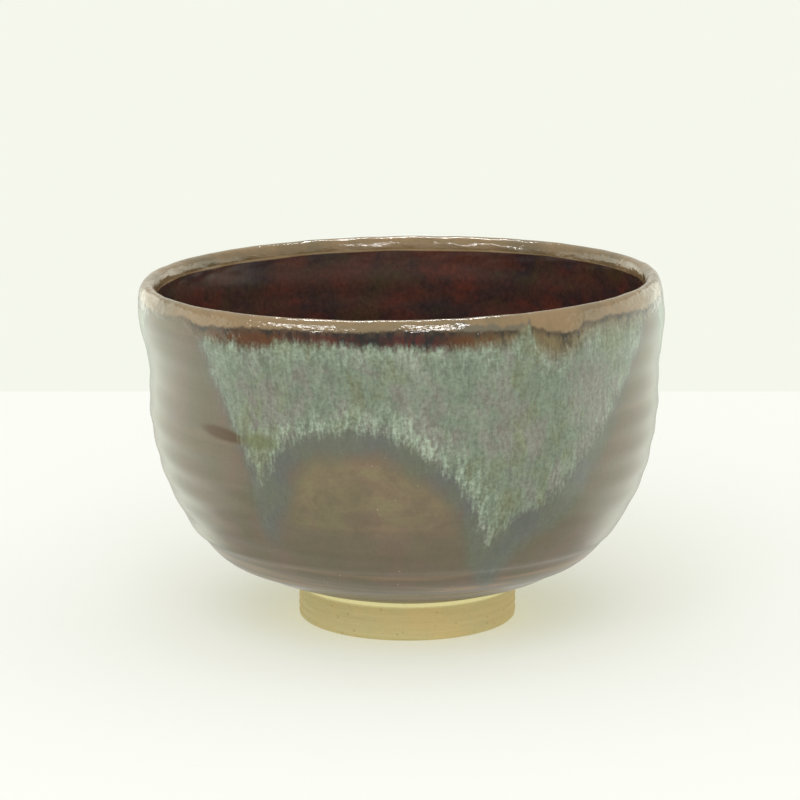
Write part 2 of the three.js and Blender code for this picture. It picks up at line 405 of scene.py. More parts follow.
IRON_MARKS = (
    IronMark(-42.6, 52.2, 8.6, 1.9, -0.10, 1.2),
    IronMark(-32.5, 51.7, 6.5, 2.4, 0.0, 0.9),
)

TEETH = ((9.0, 27.8), (126.0, 141.0))


class GlazeMap:
    """Where each glaze lies on the wall, as numbers for every point of a glazed piece."""

    SHEET_RADIUS = 56.0
    FAR = 60.0
    NEAR = 20.0
    BORDER_STEPS = 8
    ARCH_SOFTNESS = 5.0
    TOOTH_SOFTNESS = 4.0

    def __init__(self, line: ClayLine) -> None:
        """Draws the borders of the pours on the wall's sheet."""
        self.line = line
        self.borders = [self.border_on_sheet(pour) for pour in POURS]

    def border_on_sheet(self, pour: Pour) -> np.ndarray:
        """A pour's lower border as a smooth line: distance round, distance up, and width of the halo."""
        rough = [
            Vector((
                math.radians(point.degrees) * self.SHEET_RADIUS,
                float(self.line.along_at_share(point.share)),
                point.halo,
            ))
            for point in pour.border
        ]
        return np.array([tuple(point) for point in curve_through(rough, self.BORDER_STEPS)])

    def signed_distances(self, degrees: np.ndarray, along: np.ndarray) -> tuple[np.ndarray, np.ndarray]:
        """How far points are inside the nearest pour.

        Args:
            degrees: Degrees round from the front towards the right.
            along: Distances up the wall from the glaze line.

        Returns:
            The distance inside the pour's border and inside its fringe, negative outside.
        """
        edge = np.full(len(degrees), -self.FAR)
        fringe = np.full(len(degrees), -self.FAR)
        for border in self.borders:
            first, last = border[0, 0], border[-1, 0]
            turn = 2 * math.pi * self.SHEET_RADIUS
            around = np.radians(degrees) * self.SHEET_RADIUS
            around = first - turn / 4 + (around - first + turn / 4) % turn
            near = (around > first - self.NEAR) & (around < last + self.NEAR)
            place = np.stack([around[near], along[near]], axis=1)
            inside = (place[:, 0] > first) & (place[:, 0] < last)
            inside &= place[:, 1] > np.interp(place[:, 0], border[:, 0], border[:, 1])
            above = 2 * self.FAR
            line = np.array([(first, above, border[0, 2]), *border, (last, above, border[-1, 2])])
            to_edge, within, beyond = (np.full(len(place), self.FAR) for _ in range(3))
            for start, end in zip(line, line[1:]):
                span = end[:2] - start[:2]
                share = np.clip(((place - start[:2]) @ span) / max(span @ span, 1e-9), 0.0, 1.0)
                away = place - start[:2] - share[:, None] * span
                distance = np.hypot(away[:, 0], away[:, 1])
                halo = start[2] + share * (end[2] - start[2])
                to_edge = np.minimum(to_edge, distance)
                within = np.minimum(within, distance - halo)
                beyond = np.minimum(beyond, distance + halo)
            edge[near] = np.maximum(edge[near], np.where(inside, to_edge, -to_edge))
            fringe[near] = np.maximum(fringe[near], np.where(inside, within, -beyond))
        return edge, fringe

    def under_arch(self, degrees: np.ndarray) -> np.ndarray:
        """1 between the first and last tip of a pour, falling to 0 outside them.

        Args:
            degrees: Degrees round from the front towards the right.

        Returns:
            The shares.
        """
        found = np.zeros(len(degrees))
        soft = self.ARCH_SOFTNESS
        for pour in POURS:
            first, last = pour.tips()
            turned = (degrees - first + 90.0) % 360.0 + first - 90.0
            between = smoothstep(turned, first - soft / 2, first + soft)
            between *= 1.0 - smoothstep(turned, last - soft, last + soft / 2)
            found = np.maximum(found, between)
        return found

    def band(self, degrees: np.ndarray, drop: np.ndarray) -> tuple[np.ndarray, np.ndarray, np.ndarray]:
        """The lip's band at points.

        Args:
            degrees: Degrees round from the front towards the right.
            drop: Distances below the lip's crest.

        Returns:
            How far the points are below the lip's colour and below the band, and how dark the band is there.
        """
        stops = np.array([(p.degrees, p.lip_drop, p.band_drop, p.darkness) for p in BAND])
        first = stops[0, 0]
        turned = (degrees - first) % 360.0 + first
        lip, band, dark = (np.interp(turned, stops[:, 0], stops[:, i]) for i in (1, 2, 3))
        return drop - lip, drop - band, dark

    def teeth(self, degrees: np.ndarray) -> np.ndarray:
        """1 where the lip's glaze breaks into translucent teeth, 0 elsewhere."""
        found = np.zeros(len(degrees))
        for first, last in TEETH:
            tooth = smoothstep(degrees, first, first + self.TOOTH_SOFTNESS) * (degrees < last)
            found = np.maximum(found, tooth)
        return found

    def inside_lip(self, turn: np.ndarray, along: np.ndarray) -> np.ndarray:
        """How far points are below the lip's colour inside."""
        reach = 0.15 - 0.35 * np.cos(turn - math.radians(35))
        reach = reach + 0.08 * np.sin(7 * turn) + 0.05 * np.sin(17 * turn + 1)
        return along - self.line.lip_end - reach

    def iron(self, degrees: np.ndarray, height: np.ndarray) -> np.ndarray:
        """How strong the iron marks are at points: up to 1 at a mark's middle."""
        found = np.zeros(len(degrees))
        for mark in IRON_MARKS:
            across = np.radians((degrees - mark.degrees + 180.0) % 360.0 - 180.0) * self.SHEET_RADIUS
            up = height - mark.height - mark.slope * across
            nearness = 1.0 - np.hypot(across / mark.half_width, up / mark.half_height)
            found = np.maximum(found, mark.strength * np.clip(nearness, 0.0, 1.0))
        return found


# ---- The relief left by the hand -----------------------------------------------------------------


@dataclass(frozen=True)
class HandRelief:
    """The ridges and hollows that throwing and turning leave, in millimetres."""

    ridge: float = 0.13
    ridge_pitch: float = 6.4
    groove: float = 0.008
    groove_pitch: float = 1.3
    lump: float = 0.14
    trim_ridge: float = 0.26
    trim_heights: tuple[float, ...] = (21.6, 14.6)
    lip_wave: float = 0.10
    inside_ridge: float = 0.05
    inside_pitch: float = 9.5
    foot_mark: float = 0.07
    foot_pitch: float = 1.9
    foot_slant: float = 3.1
    foot_line: float = 0.05
    foot_line_pitch: float = 0.6
    foot_sway: float = 0.12

    def outside(self, turn: np.ndarray, height: np.ndarray) -> np.ndarray:
        """The relief of the outside wall.

        Args:
            turn: Angles round from the front, in radians.
            height: Heights over the table.

        Returns:
            How far the surface stands out of the turned form.
        """
        coil = turn / (2 * math.pi)
        sway = 0.35 * np.sin(turn + 0.7) + 0.2 * np.sin(2 * turn + 2.1)
        ridges = np.sin(2 * math.pi * (height / self.ridge_pitch + coil + sway * 0.5))
        strength = 0.65 + 0.35 * np.sin(2 * turn + height / 9.0)
        grooves = np.sin(2 * math.pi * (height / self.groove_pitch + coil) + 1.5 * np.sin(3 * turn))
        lumps = np.sin(2 * turn + 0.4 + height / 19.0) * np.sin(height / 10.0 + 0.6 + np.sin(turn))
        lumps += 0.5 * np.sin(5 * turn + height / 7.0) * np.sin(height / 6.0 - turn)
        relief = self.ridge * strength * ridges + self.groove * grooves + self.lump * lumps
        for middle in self.trim_heights:
            away = (height - middle - 0.4 * np.sin(turn + middle)) / 0.8
            relief += self.trim_ridge * (np.tanh(away) * np.exp(-(away / 3.5) ** 2))
        return relief

    def lip(self, turn: np.ndarray, along: np.ndarray) -> np.ndarray:
        """The uneven surface of the thick glaze at the lip."""
        waves = np.sin(23 * turn + 1.7 * np.sin(along * 0.9)) * np.sin(along * 1.5 + 5 * turn)
        waves += 0.6 * np.sin(41 * turn + along) * np.sin(along * 2.3 - 9 * turn)
        return self.lip_wave * 0.5 * waves

    def inside(self, turn: np.ndarray, along: np.ndarray) -> np.ndarray:
        """The throwing spiral inside.

        Args:
            turn: Angles round from the front, in radians.
            along: Places along the clay's line.

        Returns:
            How far the surface stands out of the turned form.
        """
        coil = turn / (2 * math.pi)
        sway = 0.12 * np.sin(turn + 1.9)
        ridges = np.sin(2 * math.pi * (along / self.inside_pitch + coil + sway))
        lumps = np.sin(3 * turn + along / 13.0) * np.sin(along / 9.0 + 0.5)
        return self.inside_ridge * ridges + self.inside_ridge * lumps

    def foot(self, turn: np.ndarray, radius: np.ndarray, height: np.ndarray) -> np.ndarray:
        """The marks of the turning tool on the foot ring.

        Args:
            turn: Angles round from the front, in radians.
            radius: Distances from the axis.
            height: Heights over the table.

        Returns:
            How far the surface stands out of the turned form.
        """
        coil = turn / (2 * math.pi)
        slanted = height / self.foot_pitch + coil + radius / self.foot_slant
        lines = self.foot_line * np.sin(2 * math.pi * (height / self.foot_line_pitch + 2 * coil))
        sway = self.foot_sway * np.sin(2 * turn + 0.8)
        return self.foot_mark * np.sin(2 * math.pi * slanted) + (lines + sway)


# ---- Building pieces -----------------------------------------------------------------------------


class Piece(Enum):
    """The pieces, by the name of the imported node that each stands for."""

    CLAY = "clay_bowl"
    FOOT = "foot_ring"
    OUTSIDE = "outer_glaze"
    LIP = "rim_glaze"
    INSIDE = "inner_glaze"


class Slot(Enum):
    """The finishes, by the name that each has in the table of pieces."""

    CLAY = "bare_clay"
    BROWN = "brown_glaze"
    LIP = "lip_glaze"
    DARK = "dark_glaze"
    PALE = "pale_glaze"


Section = list[tuple[float, float, float, float]]


class Potter:
    """Makes the bowl's meshes."""

    COARSE_STEPS = 60
    RELIEF_STARTS = 2.0
    SHARP = math.radians(50)
    WELD = 1e-4

    def __init__(self, form: BowlForm, relief: HandRelief) -> None:
        """Keeps the form and its relief, and draws the clay's line and the map of the glazes."""
        self.form = form
        self.relief = relief
        self.line = ClayLine(form)
        self.glazes = GlazeMap(self.line)

    def spun(self, section: Section, segments: int, closed: bool) -> bmesh.types.BMesh:
        """A closed body turned about the axis.

        Args:
            section: Radius, height, place along the clay's line and depth of each point of the half section.
            segments: How many segments go round.
            closed: Whether the half section closes on itself; otherwise both ends are on the axis.

        Returns:
            The mesh, whose points keep their place and depth.
        """
        mesh, along, depth = new_mesh_on_line()
        ring = []
        for radius, up, place, out in section:
            vertex = mesh.verts.new((0.0, -radius, up))
            vertex[along] = place
            vertex[depth] = out
            ring.append(vertex)
        pairs = zip(ring, ring[1:] + ring[:1]) if closed else zip(ring, ring[1:])
        for start, end in pairs:
            mesh.edges.new((start, end))
        self.spin(mesh, segments)
        return mesh

    def spin(self, mesh: bmesh.types.BMesh, segments: int) -> None:
        """Turns a half section about the axis in coarse steps, and cuts those finer round the bowl.

        Args:
            mesh: The half section, which becomes the whole.
            segments: How many segments go round in the end.
        """
        bmesh.ops.spin(
            mesh, geom=mesh.verts[:] + mesh.edges[:], cent=(0, 0, 0), axis=(0, 0, 1), dvec=(0, 0, 0),
            angle=2 * math.pi, steps=self.COARSE_STEPS,
            use_merge=True, use_normal_flip=False, use_duplicate=False,
        )
        bmesh.ops.remove_doubles(mesh, verts=mesh.verts[:], dist=self.WELD)
        round_edges = [edge for edge in mesh.edges if is_round(edge)]
        cuts = segments // self.COARSE_STEPS - 1
        bmesh.ops.subdivide_edges(mesh, edges=round_edges, cuts=cuts, use_grid_fill=True)
        bmesh.ops.recalc_face_normals(mesh, faces=mesh.faces[:])

    def stretch(self, start: float, end: float, step: float) -> np.ndarray:
        """Places along the clay's line from start to end, an even step apart."""
        return np.linspace(start, end, max(2, round(abs(end - start) / step) + 1))

    def on_line(self, along: np.ndarray, depth: np.ndarray) -> Section:
        """Section points at places and depths of the clay's line."""
        radius, up = self.line.place(along, depth)
        return [tuple(map(float, row)) for row in zip(radius, up, along, depth)]

    def finish(self, mesh: bmesh.types.BMesh, name: str, glazed: bool = True) -> bpy.types.Object:
        """Moves a mesh on the clay's line to its hand-made form and makes it an object.

        Args:
            mesh: The mesh, whose points keep their place along the clay's line and their depth.
            name: The object's name.
            glazed: Whether it needs the numbers that the outside's glazes follow.

        Returns:
            The object, in metres.
        """
        data = to_data(mesh, name)
        place = read_points(data)
        along, depth = (read_numbers(data, layer) for layer in ("along", "depth"))
        turn = np.arctan2(place[:, 0], -place[:, 1])
        extra = self.surface_relief(turn, along, place[:, 2])
        radius, up = self.line.place(along, depth + extra)
        self.keep_numbers(data, turn, along, self.line.place(along, depth)[1], glazed)
        for layer in ("along", "depth"):
            data.attributes.remove(data.attributes[layer])
        return self.as_object(data, around_axis(turn, radius, up))

    def keep_numbers(
        self, data: bpy.types.Mesh, turn: np.ndarray, along: np.ndarray, up: np.ndarray, glazed: bool,
    ) -> None:
        """Gives a mesh's points their place on the wall's sheet and the numbers that its glazes follow.

        Args:
            data: The mesh.
            turn: The points' angles round from the front, in radians.
            along: Their places along the clay's line.
            up: Their heights in the turned form.
            glazed: Whether they need the numbers of the outside's glazes too.
        """
        degrees = np.degrees(turn)
        sheet = around_axis(turn, self.glazes.SHEET_RADIUS, along).astype(np.float32)
        data.attributes.new("sheet", "FLOAT_VECTOR", "POINT").data.foreach_set("vector", sheet.ravel())
        numbers = {"inside_lip": self.glazes.inside_lip(turn, along)}
        if glazed:
            edge, fringe = self.glazes.signed_distances(degrees, np.minimum(along, self.line.crest))
            drop = np.where(along <= self.line.crest, self.form.height - up, 0.0)
            below_lip, below_band, dark = self.glazes.band(degrees, drop)
            numbers |= {
                "pour_edge": edge, "pour_fringe": fringe, "below_lip": below_lip, "below_band": below_band,
                "band_dark": dark, "under_arch": self.glazes.under_arch(degrees),
                "iron": self.glazes.iron(degrees, up), "teeth": self.glazes.teeth(degrees),
            }
        for layer, values in numbers.items():
            data.attributes.new(layer, "FLOAT", "POINT").data.foreach_set("value", values.astype(np.float32))

    def as_object(self, data: bpy.types.Mesh, points: np.ndarray) -> bpy.types.Object:
        """Gives a mesh its hand-made form, puts it in the scene and lets it ride on the bowl.

        Args:
            data: The mesh.
            points: Its points in the turned form, in millimetres.

        Returns:
            The object, in metres.
        """
        data.vertices.foreach_set("co", (self.form.hand_made(points) * MM).ravel())
        data.polygons.foreach_set("use_smooth", [True] * len(data.polygons))
        data.set_sharp_from_angle(angle=self.SHARP)
        data.update()
        piece = bpy.data.objects.new(data.name, data)
        bpy.context.scene.collection.objects.link(piece)
        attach(piece, BODY)
        log.info("%s: %d points", data.name, len(data.vertices))
        return piece

    def surface_relief(self, turn: np.ndarray, along: np.ndarray, up: np.ndarray) -> np.ndarray:
        """The relief at points of the clay's line: outside, over the lip and inside, each fading out.

        Args:
            turn: Angles round from the front, in radians.
            along: Places along the clay's line.
            up: Heights in the turned form.

        Returns:
            How far the surface stands out of the turned form.
        """
        line = self.line
        starts = smoothstep(along, line.foot_top, self.RELIEF_STARTS)
        to_lip = smoothstep(along, line.wall_top - 4.0, line.wall_top + 3.0)
        to_inside = smoothstep(along, line.lip_end - 1.0, line.lip_end + 6.0)
        to_middle = smoothstep(line.middle - along, 0.0, 12.0)
        outside = self.relief.outside(turn, up) * starts * (1.0 - to_lip)
        lip = self.relief.lip(turn, along) * to_lip * (1.0 - to_inside)
        inside = self.relief.inside(turn, along) * to_inside * to_middle
        return outside + lip + inside


@dataclass(frozen=True)
class Part:
    """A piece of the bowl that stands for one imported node."""

    node: str
    slot: Slot

    def build(self, potter: Potter) -> bpy.types.Object:
        """Builds the piece's mesh as an object."""
        raise NotImplementedError

    def dress(self, potter: Potter, material: bpy.types.Material) -> None:
        """Builds the piece and gives it its finish."""
        dress(self.build(potter), self.node, material)


@dataclass(frozen=True)
class ClayBody(Part):
    """The clay body: its bare underside and the strip over the foot, and the wall under the glazes."""

    segments: int = 360
    bare_until: float = 2.0
    underside_row: float = 0.6
    strip_row: float = 0.3
    wall_row: float = 1.4

    def build(self, potter: Potter) -> bpy.types.Object:
        """Turns the clay's whole line about the axis.

        Args:
            potter: Who keeps the form, the clay's line and the map of the glazes.

        Returns:
            The clay body.
        """
        line = potter.line
        along = np.concatenate([
            potter.stretch(line.start, line.foot_top, self.underside_row),
            potter.stretch(line.foot_top, self.bare_until, self.strip_row)[1:],
            potter.stretch(self.bare_until, line.middle, self.wall_row)[1:],
        ])
        section = potter.on_line(along, np.zeros(len(along)))
        mesh = potter.spun(section, self.segments, closed=False)
        return potter.finish(mesh, self.node + "_fine", glazed=False)


@dataclass(frozen=True)
class Coat(Part):
    """A coat of glaze on a stretch of the clay's line. One that ends in the floor's middle closes there."""

    start: float
    end: float
    row: float
    segments: int = 480
    back_row: float = 3.0
    roll: float = 0.7
    roll_depth: float = 0.86

    def build(self, potter: Potter) -> bpy.types.Object:
        """Turns the coat about the axis. Its edge over the foot is rolled in.

        Args:
            potter: Who keeps the form, the clay's line and the map of the glazes.

        Returns:
            The coat.
        """
        face = potter.stretch(self.start, self.end, self.row)
        back = potter.stretch(self.end, self.start, self.back_row)
        thickness = np.full(len(face), potter.form.glaze)
        if self.start == 0.0:
            near = np.clip(1.0 - face / self.roll, 0.0, 1.0)
            thickness *= np.sqrt(1.0 - self.roll_depth * near ** 2)
        under = np.full(len(back), potter.form.bond_gap)
        section = potter.on_line(face, thickness) + potter.on_line(back, under)
        inner = self.end == potter.line.middle
        mesh = potter.spun(section, self.segments, closed=not inner)
        return potter.finish(mesh, self.node + "_fine", glazed=not inner)


@dataclass(frozen=True)
class PouredSheet(Part):
    """A poured run: a sheet over the coat that thins out to nothing at its border."""

    run: Pour
    columns: int = 330
    rows: int = 110
    over_wall: float = 0.2
    thins_over: float = 6.0
    top_slope: float = 0.8
    bead_rises: tuple[float, float] = (0.2, 2.2)
    bead_falls: tuple[float, float] = (2.5, 7.0)
    dip: float = 0.03

    def build(self, potter: Potter) -> bpy.types.Object:
        """Bends a flat slab onto the wall between the run's border and the lip.

        Args:
            potter: Who keeps the form, the clay's line and the map of the glazes.

        Returns:
            The sheet.
        """
        mesh, along, depth = new_mesh_on_line()
        bmesh.ops.create_grid(mesh, x_segments=self.columns, y_segments=self.rows, size=0.5)
        bottom = mesh.faces[:]
        bmesh.ops.extrude_face_region(mesh, geom=bottom, use_keep_orig=True)
        mesh.verts.index_update()
        flat = np.array([tuple(vertex.co) for vertex in mesh.verts])
        under = {vertex.index for face in bottom for vertex in face.verts}
        top = np.array([vertex.index not in under for vertex in mesh.verts])
        first, last = self.run.span
        degrees = first + (flat[:, 0] + 0.5) * (last - first)
        turn = np.radians(degrees)
        border = potter.glazes.borders[POURS.index(self.run)]
        low = np.interp(turn * potter.glazes.SHEET_RADIUS, border[:, 0], border[:, 1])
        high = potter.line.wall_top + self.over_wall
        place = low + (flat[:, 1] + 0.5) * (high - low)
        out = np.where(top, self.face(potter, degrees, place, high), potter.form.glaze - 3 * self.dip)
        points = around_axis(turn, *potter.line.place(place, out))
        for vertex, point, where, how_deep in zip(mesh.verts, points, place, out):
            vertex.co = point
            vertex[along] = where
            vertex[depth] = how_deep
        bmesh.ops.recalc_face_normals(mesh, faces=mesh.faces[:])
        return potter.finish(mesh, self.node + "_fine")

    def face(self, potter: Potter, degrees: np.ndarray, place: np.ndarray, high: float) -> np.ndarray:
        """How far the sheet's face lies out of the clay.

        Args:
            potter: Who keeps the form, the clay's line and the map of the glazes.
            degrees: The points' degrees round from the front towards the right.
            place: Their places along the clay's line.
            high: Where along it the sheet ends at the top.

        Returns:
            The depths: just under the coat at the border, and a low bead inside it.
        """
        edge = potter.glazes.signed_distances(degrees, place)[0]
        inward = np.minimum(edge, (high - place) * self.top_slope)
        body = self.run.thickness * smoothstep(inward, 0.0, self.thins_over)
        bead = self.run.bead * smoothstep(edge, *self.bead_rises) * (1.0 - smoothstep(edge, *self.bead_falls))
        return potter.form.glaze - self.dip + body + bead


@dataclass(frozen=True)
class FootRing(Part):
    """The foot ring: an upright wall with softened edges, and the marks of the turning tool."""

    segments: int = 360
    edge_radius: float = 0.9
    edge_steps: int = 6
    long_side: float = 2.0
    row: float = 0.25
    plain_low: float = 1.0
    plain_high: float = 0.8

    def build(self, potter: Potter) -> bpy.types.Object:
        """Turns the ring about the axis and puts the tool's marks on its sides.

        Args:
            potter: Who keeps the form, the clay's line and the map of the glazes.

        Returns:
            The ring.
        """
        form = potter.form
        inner = form.foot_radius - form.foot_wall
        mesh = self.half_section(form, inner)
        potter.spin(mesh, self.segments)
        data = to_data(mesh, self.node + "_fine")
        place = read_points(data)
        turn = np.arctan2(place[:, 0], -place[:, 1])
        radius = np.hypot(place[:, 0], place[:, 1]) / chord_share(turn, potter.COARSE_STEPS)
        height = place[:, 2]
        free = smoothstep(height, 0.0, self.plain_low)
        free *= 1.0 - smoothstep(height, form.foot_height - self.plain_high, form.foot_height)
        side = np.where(radius > inner + form.foot_wall / 2, 1.0, -1.0)
        radius = radius + side * potter.relief.foot(turn, radius, height) * free
        return potter.as_object(data, around_axis(turn, radius, height))

    def half_section(self, form: BowlForm, inner: float) -> bmesh.types.BMesh:
        """The ring's half section, with its two lower edges softened and its long sides cut into rows.

        Args:
            form: The bowl's form.
            inner: The ring's inner radius at the table.

        Returns:
            The half section as a loop of edges.
        """
        corners = [
            (inner - form.foot_undercut, form.foot_height), (inner, 0.0),
            (form.foot_radius, 0.0), (form.foot_radius, form.foot_height),
        ]
        mesh = bmesh.new()
        points = [mesh.verts.new((0.0, -radius, up)) for radius, up in corners]
        for pair in zip(points, points[1:] + points[:1]):
            mesh.edges.new(pair)
        bmesh.ops.bevel(
            mesh, geom=points[1:3], offset=self.edge_radius, offset_type="OFFSET", segments=self.edge_steps,
            profile=0.5, affect="VERTICES", material=-1,
        )
        for edge in [edge for edge in mesh.edges if edge.calc_length() > self.long_side]:
            cuts = round(edge.calc_length() / self.row)
            bmesh.ops.subdivide_edges(mesh, edges=[edge], cuts=cuts)
        return mesh


def new_mesh_on_line() -> tuple[bmesh.types.BMesh, bmesh.types.BMLayerItem, bmesh.types.BMLayerItem]:
    """An empty mesh and the two layers in which its points keep their place on the clay's line and depth."""
    mesh = bmesh.new()
    layers = mesh.verts.layers.float
    return mesh, layers.new("along"), layers.new("depth")


def to_data(mesh: bmesh.types.BMesh, name: str) -> bpy.types.Mesh:
    """A mesh's data under a name. The mesh itself is freed.

    Args:
        mesh: The mesh, which can't be used afterwards.
        name: The data's name.

    Returns:
        The data.
    """
    data = bpy.data.meshes.new(name)
    mesh.to_mesh(data)
    mesh.free()
    return data


def around_axis(turn: np.ndarray, radius: np.ndarray | float, up: np.ndarray) -> np.ndarray:
    """The x, y and z of points at angles round from the front, in rows."""
    return np.stack([radius * np.sin(turn), -radius * np.cos(turn), up], axis=1)


def is_round(edge: bmesh.types.BMEdge) -> bool:
    """Whether an edge goes round the axis, and not along the half section."""
    start, end = (vertex.co for vertex in edge.verts)
    return abs(start.z - end.z) < 1e-4 and abs(start.xy.length - end.xy.length) < 1e-4


def chord_share(turn: np.ndarray, steps: int) -> np.ndarray:
    """How much nearer to the axis the straight side of a coarse step lies than its corners, at each angle."""
    half = math.pi / steps
    return math.cos(half) / np.cos((turn + half * 2 * steps) % (2 * half) - half)


def read_points(data: bpy.types.Mesh) -> np.ndarray:
    """The points of a mesh, one row each."""
    values = np.empty(len(data.vertices) * 3, np.float32)
    data.vertices.foreach_get("co", values)
    return values.reshape(-1, 3).astype(float)


def read_numbers(data: bpy.types.Mesh, layer: str) -> np.ndarray:
    """The numbers that a mesh keeps for its points in a layer."""
    values = np.empty(len(data.vertices), np.float32)
    data.attributes[layer].data.foreach_get("value", values)
    return values.astype(float)


# ---- Shading -------------------------------------------------------------------------------------

Socket = bpy.types.NodeSocket
Colour = tuple[float, float, float, float]


def colour(red: int, green: int, blue: int) -> Colour:
    """A display colour, 0 to 255 a channel, as the linear one that shaders use."""
    linear = [((c / 255 + 0.055) / 1.055) ** 2.4 if c > 10 else c / 255 / 12.92 for c in (red, green, blue)]
    return (*linear, 1.0)


class Signal:
    """A number that varies over a surface. Its operators add Math nodes."""

    def __init__(self, recipe: "Recipe", socket: Socket) -> None:
        """Wraps an output socket of a recipe's node."""
        self.recipe = recipe
        self.socket = socket

    def math(self, operation: str, *values: "Signal | float") -> "Signal":
        """The result of a Math node on values."""
        inputs = {i: value for i, value in enumerate(values)}
        node = self.recipe.node("ShaderNodeMath", {"operation": operation}, inputs)
        return Signal(self.recipe, node.outputs[0])

    def __add__(self, other: "Signal | float") -> "Signal":
        """Adds."""
        return self.math("ADD", self, other)

    def __radd__(self, other: float) -> "Signal":
        """Adds to a number."""
        return self.math("ADD", other, self)

    def __sub__(self, other: "Signal | float") -> "Signal":
        """Subtracts."""
        return self.math("SUBTRACT", self, other)

    def __rsub__(self, other: float) -> "Signal":
        """Subtracts from a number."""
        return self.math("SUBTRACT", other, self)

    def __mul__(self, other: "Signal | float") -> "Signal":
        """Multiplies."""
        return self.math("MULTIPLY", self, other)

    def __rmul__(self, other: float) -> "Signal":
        """Multiplies a number."""
        return self.math("MULTIPLY", other, self)

    def step(self, low: float, high: float) -> "Signal":
        """A smooth step from 0 at low to 1 at high, or from 1 to 0 where low is the greater."""
        inputs = {"Value": self, "From Min": low, "From Max": high, "To Min": 0.0, "To Max": 1.0}
        node = self.recipe.node("ShaderNodeMapRange", {"interpolation_type": "SMOOTHSTEP"}, inputs)
        return Signal(self.recipe, node.outputs["Result"])

    def swing(self, width: float) -> "Signal":
        """The number about its middle: a swing of a width around 0."""
        return (self - 0.5) * width

    def at_least(self, other: "Signal | float") -> "Signal":
        """The greater of the two."""
        return self.math("MAXIMUM", self, other)


